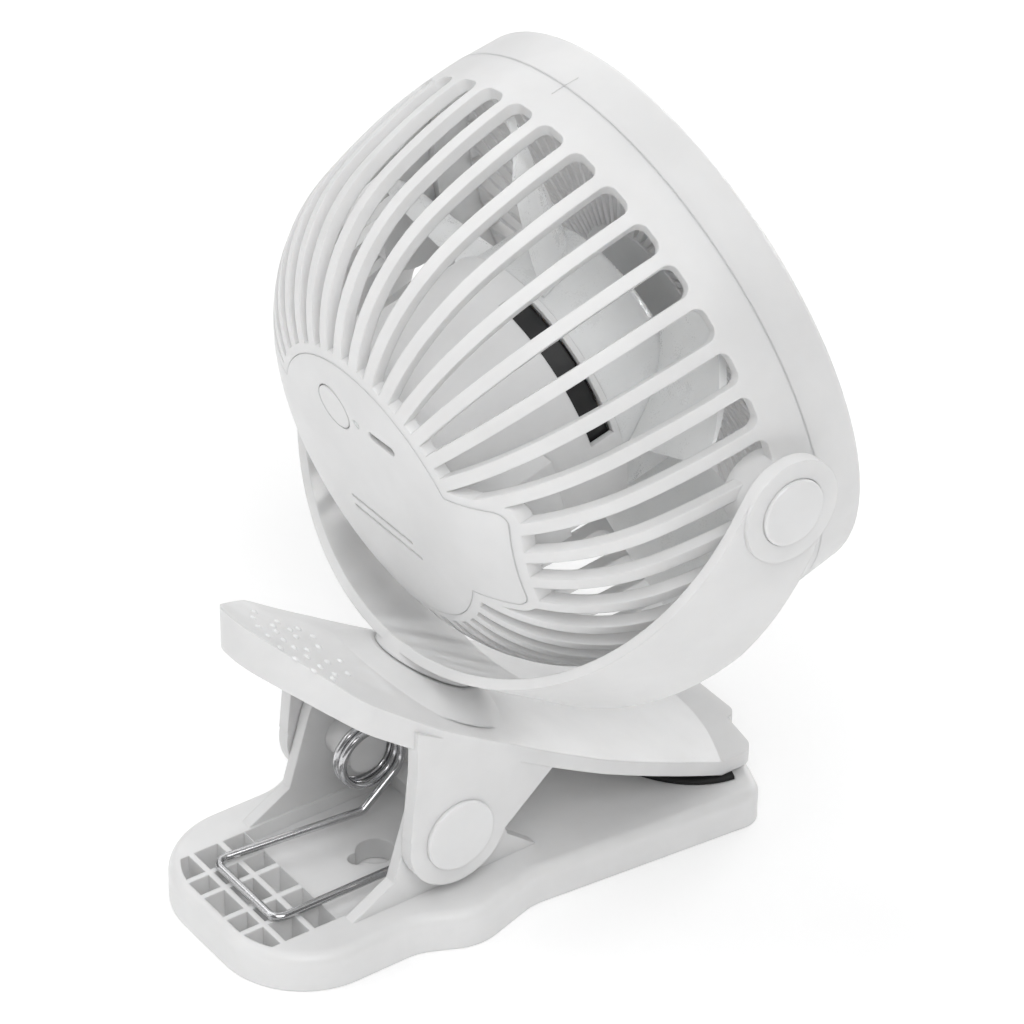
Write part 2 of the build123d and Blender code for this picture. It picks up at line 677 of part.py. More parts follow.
with BuildPart() as tilt_washers:
    for direction in (-1, 1):
        with BuildSketch(Plane(head_origin, z_dir=(direction, 0, 0)).offset(yoke_inner_half - part_gap)):
            Circle(tilt_boss_radius)
            Circle(tilt_screw_radius + seat_gap, mode=Mode.SUBTRACT)
        extrude(amount=-tilt_washer_wall)
tilt_washers.part.label = "tilt_washers"
export_step(tilt_washers.part, "parts/tilt_washers.step")

with BuildPart() as swivel_washer:
    with BuildSketch(below_yoke(stub_end)):
        Circle(swivel_washer_radius)
        Circle(swivel_screw_radius + seat_gap, mode=Mode.SUBTRACT)
    extrude(amount=swivel_washer_wall)
swivel_washer.part.label = "swivel_washer"
export_step(swivel_washer.part, "parts/swivel_washer.step")

with BuildPart() as swivel_screw:
    with BuildSketch(below_yoke(stub_end + swivel_washer_wall)):
        Circle(swivel_screw_radius)
    extrude(amount=-swivel_screw_reach - swivel_washer_wall + 0.5)
    with BuildSketch(below_yoke(stub_end + swivel_washer_wall)):
        Circle(2 * swivel_screw_radius)
    extrude(amount=1.6)
swivel_screw.part.label = "swivel_screw"
export_step(swivel_screw.part, "parts/swivel_screw.step")

# ---- upper jaw ----------------------------------------------------------------------------------------
lever_centre = Vector(0, lever_arc_y, lever_arc_z)
lever_axis = Axis(lever_centre, (1, 0, 0))


def lever_angle(y):
    """Angle along the lever's arc, from straight down, at this y."""
    return degrees(asin((y - lever_arc_y) / lever_arc))


def lever_point(drop, y):
    """Point (y, z) this far below the lever's edge line, square to the line at y."""
    angle = radians(lever_angle(y))
    return (
        lever_arc_y + (lever_arc + drop) * sin(angle),
        lever_arc_z - (lever_arc + drop) * cos(angle),
    )


def lever_band(upper, lower, y_from, y_to):
    """Crowned band of the lever from this far below its top to this far below its edges."""
    half = lever_mouth_half + 2
    edge_drop = lever_crown * (half / lever_half) ** 2 - lever_crown
    start = lever_angle(y_from)
    section_plane = Plane(
        lever_centre, x_dir=(1, 0, 0), z_dir=(0, cos(radians(start)), sin(radians(start)))
    )
    with BuildSketch(section_plane) as band:
        with BuildLine():
            crown_edge = lever_arc + edge_drop + upper
            crown = ThreePointArc(
                (-half, crown_edge), (0, lever_arc - lever_crown + upper), (half, crown_edge)
            )
            Polyline(crown @ 1, (half, lever_arc + lower), (-half, lever_arc + lower), crown @ 0)
        make_face()
    return revolve(band.sketch, axis=lever_axis, revolution_arc=lever_angle(y_to) - start, mode=Mode.PRIVATE)


def lever_plan(inset):
    """Outline of the lever from above, set in by this much."""
    with BuildSketch() as plan:
        with BuildLine():
            handle = FilletPolyline(
                (lever_half, 4),
                (lever_half - 3.2, 23),
                (4.5, lever_handle_end),
                (-4.5, lever_handle_end),
                (-lever_half + 3.2, 23),
                (-lever_half, 4),
                radius=lever_tip_fillet,
            )
            Polyline(
                handle @ 1,
                (-lever_half, -14),
                (-lever_mouth_half, -38),
                (-lever_mouth_half, lever_mouth_end),
                (-nose_half, lever_mouth_end - 2.2),
                (-nose_half, nose_end),
                (nose_half, nose_end),
                (nose_half, lever_mouth_end - 2.2),
                (lever_mouth_half, lever_mouth_end),
                (lever_mouth_half, -38),
                (lever_half, -14),
                handle @ 0,
            )
        make_face()
        fillet(plan.vertices().filter_by(lambda v: abs(v.Y - lever_mouth_end) < 0.1), 4.5)
        fillet(plan.vertices().filter_by(lambda v: abs(v.Y - nose_end) < 0.1), 3.0)
        fillet(plan.vertices().filter_by(lambda v: -40 < v.Y < -13), 30.0)
        if inset:
            offset(amount=-inset, kind=Kind.INTERSECTION)
    return plan.sketch


lever_top_y = lever_handle_end + 6
lever_low_y = nose_end - 2
with BuildPart() as nose_lip:
    with BuildSketch(Plane.YZ):
        with BuildLine():
            Polyline(
                (nose_end - 1, nose_top),
                (nose_root, nose_top + 0.4),
                (nose_root + 4.5, nose_top - 1),
                (nose_root + 0.5, nose_bottom),
                (nose_end - 1, nose_bottom),
                close=True,
            )
        make_face()
    extrude(amount=lever_mouth_half, both=True)
    extrude(lever_plan(0), amount=120, mode=Mode.INTERSECT)

with BuildPart() as lever_hollow:
    add(lever_band(lever_wall, 60.0, lever_low_y, lever_top_y))
    extrude(lever_plan(lever_wall), amount=120, mode=Mode.INTERSECT)

with BuildPart() as upper_jaw:
    add(lever_band(0, lever_skirt_handle, lever_low_y, lever_top_y))
    extrude(lever_plan(0), amount=120, mode=Mode.INTERSECT)
    add(lever_hollow.part, mode=Mode.SUBTRACT)
    with BuildSketch(Plane.YZ):
        with BuildLine():
            steps = range(skirt_steps + 1)
            step_y = (skirt_change_y - lever_low_y) / skirt_steps
            Polyline(
                *(lever_point(lever_skirt_mouth, skirt_change_y - step_y * step) for step in steps),
                lever_point(40.0, lever_low_y - 5),
                lever_point(40.0, skirt_change_y),
                close=True,
            )
        make_face()
    extrude(amount=2 * lever_mouth_half, both=True, mode=Mode.SUBTRACT)
    with BuildSketch(Plane.YZ):
        with Locations((nose_end, 0)):
            Rectangle(60, nose_bottom, align=(Align.CENTER, Align.MIN))
    extrude(amount=2 * lever_mouth_half, both=True, mode=Mode.SUBTRACT)
    add(nose_lip.part)
    for direction in (-1, 1):
        with BuildSketch(Plane.YZ.offset(direction * cheek_inner)):
            with BuildLine():
                Polyline(*cheek_outline, close=True)
            make_face()
            with Locations((0, pivot_height)):
                Circle(cheek_radius)
        extrude(amount=direction * (cheek_outer - cheek_inner))
    with BuildSketch(below_yoke(swivel_top)):
        Circle(seat_radius)
    extrude(amount=seat_height, taper=-seat_flare)
    with BuildSketch(below_yoke(swivel_top)):
        Circle(seat_radius)
    extrude(amount=swivel_plate)
    with BuildSketch(below_yoke(swivel_top - 1)):
        Circle(swivel_stub_radius + running_clearance)
    extrude(amount=swivel_plate + 2, mode=Mode.SUBTRACT)
    with BuildSketch(Plane.YZ):
        with Locations((0, pivot_height)):
            Circle(pivot_pin_radius + running_clearance)
    extrude(amount=2 * cheek_outer, both=True, mode=Mode.SUBTRACT)
upper_jaw.part.label = "upper_jaw"
export_step(upper_jaw.part, "parts/upper_jaw.step")

with BuildPart() as upper_pad:
    with BuildSketch(Plane.XY.offset(base_height + pad_proud + part_gap)):
        with Locations((0, pad_y)):
            Ellipse(pad_half - 1, pad_depth - 3)
    extrude(amount=20)
    extrude(lever_plan(lever_wall + part_gap), amount=120, mode=Mode.INTERSECT)
    add(lever_band(lever_wall + 2 * seat_gap, 60.0, lever_low_y, lever_top_y), mode=Mode.INTERSECT)
    add(nose_lip.part, mode=Mode.SUBTRACT)
upper_pad.part.label = "upper_pad"
export_step(upper_pad.part, "parts/upper_pad.step")

for name, direction in (("clip_cap_left", -1), ("clip_cap_right", 1)):
    with BuildPart() as clip_cap:
        with BuildSketch(Plane.YZ.offset(direction * cheek_outer)):
            with Locations((0, pivot_height)):
                Circle(clip_cap_radius)
        extrude(amount=direction * clip_cap_wall)
        fillet(clip_cap.edges().sort_by(Axis.X)[-1 if direction > 0 else 0], 0.5)
    clip_cap.part.label = name
    export_step(clip_cap.part, f"parts/{name}.step")

# ---- lower jaw ------------------------------------------------------------------------------------------


def base_plan(inset):
    """Outline of the lower jaw from above, set in by this much."""
    with BuildSketch() as plan:
        with BuildLine():
            rear = Line((0, base_rear), (base_half - base_rear_corner, base_rear))
            corner = JernArc(rear @ 1, (1, 0), base_rear_corner, -90)
            FilletPolyline(
                corner @ 1,
                (base_half, hip_rear_y),
                (base_hip_half, hip_y),
                (hip_front_half, hip_front_y),
                (base_mouth_half, base_mouth_corner),
                radius=hip_arc,
            )
            mirror(about=Plane.YZ)
            ThreePointArc(
                (base_mouth_half, base_mouth_corner),
                (0, base_mouth_end),
                (-base_mouth_half, base_mouth_corner),
            )
        make_face()
        fillet(plan.vertices().filter_by(lambda v: abs(v.Y - base_mouth_corner) < 0.1), 6.0)
        if inset:
            offset(amount=-inset)
    return plan.sketch


def pocket_plan():
    """Outline of the open pocket between the ears, with its ribbed grid."""
    with BuildSketch() as plan:
        Rectangle(2 * pocket_half, 2 * base_rear)
        add(base_plan(base_wall + 0.3), mode=Mode.INTERSECT)
    return plan.sketch


with BuildPart() as lower_jaw:
    extrude(base_plan(0), amount=base_height)
    fillet(lower_jaw.faces().sort_by(Axis.Z)[-1].edges(), base_edge)
    with BuildSketch():
        add(base_plan(base_wall))
        with Locations((0, pocket_front - base_wall)):
            Rectangle(4 * base_half, 200, align=(Align.CENTER, Align.MIN), mode=Mode.SUBTRACT)
    extrude(amount=base_height - base_wall, mode=Mode.SUBTRACT)
    with BuildSketch(Plane.XY.offset(pocket_floor)):
        with Locations((0, pocket_front)):
            Rectangle(2 * pocket_half, grid_front - pocket_front, align=(Align.CENTER, Align.MIN))
    extrude(amount=base_height, mode=Mode.SUBTRACT)
    with BuildSketch(Plane.XY.offset(cell_floor)):
        for low, high in zip(cell_rows, cell_rows[1:]):
            for left, right in zip(cell_columns, cell_columns[1:]):
                with Locations(((left + right) / 2, (low + high) / 2)):
                    Rectangle(right - left - cell_rib, high - low - cell_rib)
        add(pocket_plan(), mode=Mode.INTERSECT)
    extrude(amount=base_height, mode=Mode.SUBTRACT)
    with BuildSketch():
        with Locations((0, keyhole_y)):
            Circle(keyhole_radius)
        with Locations((0, (keyhole_y + keyhole_end) / 2)):
            SlotOverall(keyhole_end - keyhole_y + keyhole_slot / 2, keyhole_slot, rotation=90)
    extrude(amount=base_height, mode=Mode.SUBTRACT)
    with BuildSketch(Plane.XY.offset(base_height - pad_recess)):
        with Locations((0, pad_y)):
            Ellipse(pad_half, pad_depth)
        add(base_plan(2 * base_edge), mode=Mode.INTERSECT)
    extrude(amount=base_height, mode=Mode.SUBTRACT)
    for direction, boss_end in ((-1, plain_boss_end), (1, spring_boss_end)):
        with BuildSketch(Plane.YZ.offset(direction * ear_inner)) as ear:
            with BuildLine():
                Polyline(*ear_outline, close=True)
            make_face()
            fillet(ear.vertices().group_by(Axis.Y)[-1], 6.0)
            fillet(ear.vertices().filter_by(lambda v: base_height < v.Z < pivot_height - 5), 9.0)
        extrude(amount=direction * (ear_outer - ear_inner))
        with BuildSketch(Plane.YZ.offset(direction * ear_inner)):
            with Locations((0, pivot_height)):
                Circle(spring_boss_radius)
        extrude(amount=-direction * (ear_inner - boss_end))
    with BuildSketch(Plane.YZ.offset(pin_inner_end - seat_gap)):
        with Locations((0, pivot_height)):
            Circle(pivot_pin_radius + seat_gap / 2)
    extrude(amount=base_half, mode=Mode.SUBTRACT)
    with BuildSketch(Plane.YZ.offset(-pin_inner_end + seat_gap)):
        with Locations((0, pivot_height)):
            Circle(pivot_pin_radius + seat_gap / 2)
    extrude(amount=-base_half, mode=Mode.SUBTRACT)
lower_jaw.part.label = "lower_jaw"
export_step(lower_jaw.part, "parts/lower_jaw.step")

with BuildPart() as pivot_pins:
    for direction in (-1, 1):
        with BuildSketch(Plane.YZ.offset(direction * pin_inner_end)):
            with Locations((0, pivot_height)):
                Circle(pivot_pin_radius)
        extrude(amount=direction * (cheek_outer - seat_gap - pin_inner_end))
pivot_pins.part.label = "pivot_pins"
export_step(pivot_pins.part, "parts/pivot_pins.step")

with BuildPart() as lower_pad:
    with BuildSketch(Plane.XY.offset(base_height - pad_recess)):
        with Locations((0, pad_y)):
            Ellipse(pad_half - seat_gap, pad_depth - seat_gap)
        add(base_plan(2 * base_edge + seat_gap), mode=Mode.INTERSECT)
    extrude(amount=pad_recess + pad_proud)
    fillet(lower_pad.faces().sort_by(Axis.Z)[-1].edges(), 0.5)
lower_pad.part.label = "lower_pad"
export_step(lower_pad.part, "parts/lower_pad.step")

# ---- spring ---------------------------------------------------------------------------------------------
coil_sweep = 360 * coil_turns + 180 - upper_leg_slope - lower_leg_slope
coil_reach = coil_far - coil_near
pivot_axis = Axis(pivot, (1, 0, 0))
coil = Helix(
    pitch=coil_reach * 360 / coil_sweep,
    height=coil_reach,
    radius=coil_radius,
    center=(coil_near, 0, pivot_height),
    direction=(1, 0, 0),
).rotate(pivot_axis, upper_leg_slope)
coil = coil.mirror(Plane.YZ.offset((coil_near + coil_far) / 2))
coil_start, coil_end = coil @ 0, coil @ 1
wire_z = base_height + wire_radius + wire_to_jaw
lower_dip = coil_end + coil % 1 * ((lower_leg_dip_y - coil_end.Y) / (coil % 1).Y)
upper_end = coil_start + coil % 0 * ((upper_leg_end_y - coil_start.Y) / (coil % 0).Y)
under_lever = tan(radians(lever_angle(upper_leg_end_y)))
with BuildLine() as spring_line:
    FilletPolyline(
        (-leg_half, upper_leg_end_y - upper_leg_return, upper_end.Z - upper_leg_return * under_lever),
        (-leg_half, upper_leg_end_y, upper_end.Z),
        upper_end,
        coil_start,
        radius=leg_bend,
    )
    add(coil)
    FilletPolyline(
        coil_end,
        lower_dip,
        (leg_half, lower_leg_end_y, wire_z),
        (-leg_half, lower_leg_end_y, wire_z),
        (-leg_half, lower_leg_end_y - lower_leg_return, wire_z),
        radius=leg_bend,
    )
spring_wire = spring_line.wires()[0]
with BuildPart() as torsion_spring:
    with BuildSketch(Plane(spring_wire @ 0, z_dir=spring_wire % 0)):
        Circle(wire_radius)
    sweep(path=spring_wire)
torsion_spring.part.label = "torsion_spring"
export_step(torsion_spring.part, "parts/torsion_spring.step")
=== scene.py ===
from math import cos, pi, radians, sin, sqrt

import bmesh
import bpy
from mathutils import Matrix, Vector


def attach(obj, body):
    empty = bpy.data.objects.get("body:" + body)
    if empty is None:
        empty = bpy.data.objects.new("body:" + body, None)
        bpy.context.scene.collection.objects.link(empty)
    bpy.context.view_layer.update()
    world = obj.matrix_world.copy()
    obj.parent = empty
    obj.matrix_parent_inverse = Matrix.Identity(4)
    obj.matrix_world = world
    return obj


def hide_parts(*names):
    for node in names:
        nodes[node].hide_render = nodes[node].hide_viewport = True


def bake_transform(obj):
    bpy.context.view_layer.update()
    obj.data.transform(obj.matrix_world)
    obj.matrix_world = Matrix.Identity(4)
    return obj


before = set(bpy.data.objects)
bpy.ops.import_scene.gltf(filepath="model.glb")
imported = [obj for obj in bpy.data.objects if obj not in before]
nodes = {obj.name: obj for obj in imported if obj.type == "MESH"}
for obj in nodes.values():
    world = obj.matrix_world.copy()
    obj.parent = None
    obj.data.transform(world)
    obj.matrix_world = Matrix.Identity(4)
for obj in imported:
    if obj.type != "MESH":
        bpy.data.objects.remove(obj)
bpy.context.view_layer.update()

MM = 0.001
HEAD_TILT = radians(15)  # of the head's axis above level


# ---- colour and nodes ---------------------------------------------------------------------------

def linear(colour):
    """An sRGB hex colour as linear red, green, blue and alpha."""
    channels = [int(colour[i:i + 2], 16) / 255 for i in (1, 3, 5)]
    return [c / 12.92 if c <= 0.04045 else ((c + 0.055) / 1.055) ** 2.4 for c in channels] + [1.0]


def add(tree, kind, sockets=None, **settings):
    """Adds a shader node, with its settings, and with values or links on its named sockets."""
    node = tree.nodes.new("ShaderNode" + kind)
    for name, value in settings.items():
        setattr(node, name, value)
    for name, value in (sockets or {}).items():
        if isinstance(value, bpy.types.NodeSocket):
            tree.links.new(value, node.inputs[name])
        else:
            node.inputs[name].default_value = value
    return node


def material(name, **constants):
    """A new material with one shader.

    Returns it, its node tree, its shader and the object's coordinates in metres."""
    made = bpy.data.materials.new(name)
    made.use_nodes = True
    tree = made.node_tree
    tree.nodes.clear()
    values = {key.replace("_", " "): value for key, value in constants.items()}
    shader = add(tree, "BsdfPrincipled", values)
    add(tree, "OutputMaterial", {"Surface": shader.outputs[0]})
    place = add(tree, "TexCoord").outputs["Object"]
    return made, tree, shader, place


def per_metre(size_mm):
    """Pattern scale that makes one feature this many millimetres wide."""
    return 1.0 / (size_mm * MM)


def colour_ramp(tree, value, stops):
    """A ramp through (position, hex colour) stops."""
    ramp = add(tree, "ValToRGB", {"Fac": value})
    while len(ramp.color_ramp.elements) < len(stops):
        ramp.color_ramp.elements.new(0.5)
    for element, (position, colour) in zip(ramp.color_ramp.elements, stops):
        element.position = position
        element.color = linear(colour)
    return ramp.outputs["Color"]


def relief(tree, shader, height, depth_mm, strength, face=None):
    """Raises the surface by a pattern, this many millimetres deep, over a softened face if any."""
    sockets = {"Height": height, "Distance": depth_mm * MM, "Strength": strength}
    if face is not None:
        sockets["Normal"] = face
    bump = add(tree, "Bump", sockets)
    tree.links.new(bump.outputs[0], shader.inputs["Normal"])


def tint(tree, shader, value, stops):
    """Colours the surface by a ramp over a pattern's value."""
    tree.links.new(colour_ramp(tree, value, stops), shader.inputs["Base Color"])


def gloss(tree, shader, value, least, most, start=0.0, end=1.0):
    """Takes the roughness from least to most as a pattern's value goes from start to end."""
    drift = add(tree, "MapRange", {
        "Value": value, "From Min": start, "From Max": end, "To Min": least, "To Max": most,
    })
    tree.links.new(drift.outputs[0], shader.inputs["Roughness"])


# ---- finishes -----------------------------------------------------------------------------------

FLOW_MM, PATCH_MM = 18, 7  # clouds where the melt flowed, and patches of duller grain
EDGE_SAMPLES = 6  # for the broken edges of the mouldings
SHEET_MM = 0.5  # of electrical steel


def moulded_abs(name, light, shade, grain_mm, rough_low, rough_high, depth_mm, edge_mm=0.5):
    """Injection-moulded plastic from a lightly textured tool: a soft satin face with a fine
    spark-eroded grain, a faint cloudiness where the melt flowed, and a little light carried under
    the skin. Its edges are broken by edge_mm, if any."""
    made, tree, shader, place = material(
        name,
        Roughness=rough_low,
        IOR=1.53,
        Subsurface_Weight=0.35,
        Subsurface_Radius=(1.0, 0.95, 0.9),
        Subsurface_Scale=2.0 * MM,
    )
    flow = add(tree, "TexNoise", {
        "Vector": place, "Scale": per_metre(FLOW_MM), "Detail": 3.0, "Roughness": 0.55,
    })
    tint(tree, shader, flow.outputs["Fac"], ((0.35, shade), (0.65, light)))
    # spark-eroded grain, drawn coarser than the real 0.1 mm so that it shows
    grain = add(tree, "TexNoise", {
        "Vector": place, "Scale": per_metre(grain_mm), "Detail": 2.0, "Roughness": 0.6,
    })
    patches = add(tree, "TexNoise", {"Vector": place, "Scale": per_metre(PATCH_MM), "Detail": 2.0})
    both = {0: grain.outputs["Fac"], 1: patches.outputs["Fac"]}
    mixed = add(tree, "Math", both, operation="MULTIPLY")
    gloss(tree, shader, mixed.outputs[0], rough_low, rough_high, start=0.1, end=0.45)
    face = None
    if edge_mm:
        # a moulded edge is a little rounded, which catches the light
        face = add(tree, "Bevel", {"Radius": edge_mm * MM}, samples=EDGE_SAMPLES).outputs[0]
    relief(tree, shader, grain.outputs["Fac"], depth_mm, 0.6, face)
    return made


def rubber_finish():
    """Nitrile rubber, compression moulded: near black, dull, with a fine pebble that greys at
    grazing light."""
    made, tree, shader, place = material("nitrile_rubber", Roughness=0.72, IOR=1.52)
    pebble = add(
        tree, "TexVoronoi", {"Vector": place, "Scale": per_metre(0.55)}, feature="SMOOTH_F1"
    )
    dust = add(tree, "TexNoise", {"Vector": place, "Scale": per_metre(5), "Detail": 4.0})
    tint(tree, shader, dust.outputs["Fac"], ((0.3, "#141414"), (0.75, "#242424")))
    gloss(tree, shader, dust.outputs["Fac"], 0.6, 0.85)
    relief(tree, shader, pebble.outputs["Distance"], 0.08, 0.5)
    return made


def bright_metal(name, light, dark, line_mm, rough_low, rough_high, stretch, depth_mm):
    """Metal with fine lines left by how it was drawn, rolled or turned, along one direction."""
    made, tree, shader, place = material(name, Metallic=1.0, Roughness=rough_low)
    along = add(tree, "Mapping", {"Vector": place, "Scale": stretch})
    lines = add(tree, "TexNoise", {
        "Vector": along.outputs[0], "Scale": per_metre(line_mm), "Detail": 3.0,
    })
    tint(tree, shader, lines.outputs["Fac"], ((0.3, dark), (0.7, light)))
    gloss(tree, shader, lines.outputs["Fac"], rough_low, rough_high)
    relief(tree, shader, lines.outputs["Fac"], depth_mm, 0.4)
    return made


def laminated_steel():
    """Electrical steel, stamped and stacked: dark edges of thin sheets, one above the other along
    the motor's axis."""
    made, tree, shader, place = material("electrical_steel", Metallic=1.0, Roughness=0.42)
    stack = (0, -cos(HEAD_TILT), sin(HEAD_TILT))
    height = add(tree, "VectorMath", {0: place, 1: stack}, operation="DOT_PRODUCT")
    waves = {0: height.outputs["Value"], 1: 2 * pi * per_metre(SHEET_MM)}
    turned = add(tree, "Math", waves, operation="MULTIPLY")
    sheets = add(tree, "Math", {0: turned.outputs[0]}, operation="SINE")
    tint(tree, shader, sheets.outputs[0], ((0.0, "#4B4B4D"), (0.6, "#8A8A8C")))
    relief(tree, shader, sheets.outputs[0], 0.05, 0.5)
    return made


def solder_resist():
    """Glass-fibre board under green solder resist: raised copper tracks show as paler lines."""
    made, tree, shader, place = material("glass_fibre_board", Roughness=0.34, IOR=1.55)
    tracks = add(tree, "TexBrick", {
        "Vector": place, "Scale": per_metre(2.4), "Mortar Size": 0.09,
        "Color1": linear("#1B6B3A"), "Color2": linear("#17603A"), "Mortar": linear("#3E9A5C"),
    })
    tree.links.new(tracks.outputs["Color"], shader.inputs["Base Color"])
    relief(tree, shader, tracks.outputs["Fac"], 0.04, 0.5)
    return made


def shrink_sleeve():
    """PVC shrink sleeve on a lithium cell: a thin blue skin, a little wrinkled over the can."""
    made, tree, shader, place = material("pvc_sleeve", Roughness=0.28, IOR=1.54)
    wrinkle = add(tree, "TexNoise", {
        "Vector": place, "Scale": per_metre(4), "Detail": 3.0, "Distortion": 0.6,
    })
    tint(tree, shader, wrinkle.outputs["Fac"], ((0.3, "#2C6E8F"), (0.7, "#3680A3")))
    gloss(tree, shader, wrinkle.outputs["Fac"], 0.22, 0.4)
    relief(tree, shader, wrinkle.outputs["Fac"], 0.06, 0.4)
    return made


def lamp_polycarbonate():
    """Polycarbonate light guide, moulded clear and left unlit: milky, glossy, faintly grey."""
    made, tree, shader, place = material("clear_polycarbonate", Roughness=0.12, IOR=1.58)
    haze = add(tree, "TexNoise", {"Vector": place, "Scale": per_metre(0.8), "Detail": 2.0})
    tint(tree, shader, haze.outputs["Fac"], ((0.3, "#B9BCBC"), (0.7, "#D6D9D9")))
    relief(tree, shader, haze.outputs["Fac"], 0.02, 0.3)
    return made


# plastics: light and shaded colour, grain in mm, least and most roughness, relief in mm
abs_body = moulded_abs("abs_body", "#E6E6E6", "#E1E1E1", 0.30, 0.36, 0.50, 0.030)
abs_clip = moulded_abs("abs_clip", "#E5E5E5", "#DFDFDF", 0.34, 0.34, 0.48, 0.030)
abs_caps = moulded_abs("abs_caps", "#E9E9E9", "#E4E4E4", 0.26, 0.28, 0.40, 0.020)
# the blades come from a polished tool
abs_blades = moulded_abs("abs_blades", "#EDEEEE", "#E8E9E9", 0.40, 0.26, 0.34, 0.001, edge_mm=0)
# the lip and the witness line are duller and painted a little darker than the faces beside them; on
# the lip the darker colour is painted shade along the joint
abs_witness_and_seam_shade = moulded_abs("abs_witness_and_seam_shade", "#E0E0E0", "#DADADA", 0.30, 0.40, 0.50, 0.003, edge_mm=0)
# the grip bumps are glossier, and painted lighter than the lever as painted highlights
abs_bumps_painted_highlight = moulded_abs("abs_bumps_painted_highlight", "#F0F0F0", "#ECECEC", 0.34, 0.24, 0.32, 0.005, edge_mm=0)
nylon = moulded_abs("nylon_washer", "#E6E5DF", "#DCDBD4", 0.25, 0.42, 0.58, 0.020)
abs_black = moulded_abs("black_abs", "#1D1D1E", "#151516", 0.30, 0.32, 0.48, 0.030)
rubber = rubber_finish()
# metals: light and dark colour, lines in mm, least and most roughness, stretch along X, Y and Z,
# relief in mm
spring_wire = bright_metal(
    "nickel_spring_wire", "#DADADB", "#B4B4B6", 0.25, 0.10, 0.22, (1, 1, 1), 0.010
)
zinc_steel = bright_metal(
    "zinc_plated_steel", "#C6C7CA", "#A4A5A9", 0.20, 0.24, 0.40, (0.1, 1, 1), 0.012
)
stainless = bright_metal(
    "stainless_socket", "#A9AAAD", "#7E7F83", 0.15, 0.28, 0.42, (1, 0.2, 1), 0.010
)
nickel = bright_metal("nickel_strip", "#C9C5BB", "#A7A39A", 0.30, 0.30, 0.45, (1, 1, 0.1), 0.015)
bronze = bright_metal("sintered_bronze", "#B08D57", "#86683B", 0.12, 0.40, 0.60, (1, 1, 1), 0.030)
core_steel = laminated_steel()
board_green = solder_resist()
sleeve_blue = shrink_sleeve()
lamp_clear = lamp_polycarbonate()

finishes = {
    "rear_shell": abs_body,
    "front_grille": abs_body,
    "panel_cover": abs_body,
    "yoke": abs_body,
    "upper_jaw": abs_clip,
    "lower_jaw": abs_clip,
    "tilt_cap_left": abs_caps,
    "tilt_cap_right": abs_caps,
    "clip_cap_left": abs_caps,
    "clip_cap_right": abs_caps,
    "power_button": abs_body,
    "impeller": abs_blades,
    "motor_housing": abs_black,
    "button_switch": abs_black,
    "lower_pad": rubber,
    "upper_pad": rubber,
    "torsion_spring": spring_wire,
    "swivel_screw": zinc_steel,
    "swivel_washer": zinc_steel,
    "tilt_screws": zinc_steel,
    "pivot_pins": zinc_steel,
    "motor_shaft": zinc_steel,
    "tilt_washers": nylon,
    "battery_cell": sleeve_blue,
    "battery_contacts": nickel,
    "circuit_board": board_green,
    "charging_socket": stainless,
    "status_lamp": lamp_clear,
    "motor_stator": core_steel,
    "motor_bearing": bronze,
}
for node_name, finish in finishes.items():
    mesh = nodes[node_name].data
    mesh.materials.clear()
    mesh.materials.append(finish)


# ---- grip bumps on the lever's handle -----------------------------------------------------------
# the lever's top is an arc along the clip, crowned across it: the arc's radius and centre, the
# crown's height and the half width, in millimetres
LEVER_ARC, LEVER_ARC_Y, LEVER_ARC_Z = 425.0, -231.0, 409.0
LEVER_CROWN, LEVER_HALF = 2.2, 26.0
BUMP_RADIUS, BUMP_HEIGHT, BUMP_SUNK = 0.85 * MM, 0.62 * MM, 0.12 * MM


def lever_top(x, y):
    """Height of the lever's crowned top, in millimetres."""
    radius = LEVER_ARC - LEVER_CROWN * (1 - (x / LEVER_HALF) ** 2)
    return LEVER_ARC_Z - sqrt(radius ** 2 - (y - LEVER_ARC_Y) ** 2)


def bump_on(mesh, foot, normal, rings=5, around=18):
    """Adds a low rounded bump to a mesh, its rim just under the surface that it stands on."""
    turn = normal.to_track_quat("Z", "Y")

    def vertex(out, turned, rise):
        offset = Vector((out * cos(turned), out * sin(turned), rise - BUMP_SUNK))
        return mesh.verts.new(foot + turn @ offset)

    rim = []
    for ring in range(rings):
        lift = ring / rings * pi / 2
        rim.append([
            vertex(BUMP_RADIUS * cos(lift), 2 * pi * k / around, BUMP_HEIGHT * sin(lift))
            for k in range(around)
        ])
    top = vertex(0, 0, BUMP_HEIGHT)
    base = vertex(0, 0, 0)
    for k in range(around):
        following = (k + 1) % around
        for low, high in zip(rim, rim[1:]):
            mesh.faces.new((low[k], low[following], high[following], high[k]))
        mesh.faces.new((rim[-1][k], rim[-1][following], top))
        mesh.faces.new((rim[0][following], rim[0][k], base))


def finish_piece(name, mesh, finish, body):
    """Turns a bmesh into a smooth-shaded piece that rides on a body."""
    data = bpy.data.meshes.new(name)
    bmesh.ops.recalc_face_normals(mesh, faces=mesh.faces)
    mesh.to_mesh(data)
    mesh.free()
    data.materials.append(finish)
    data.shade_smooth()
    piece = bpy.data.objects.new(name, data)
    bpy.context.scene.collection.objects.link(piece)
    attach(piece, body)


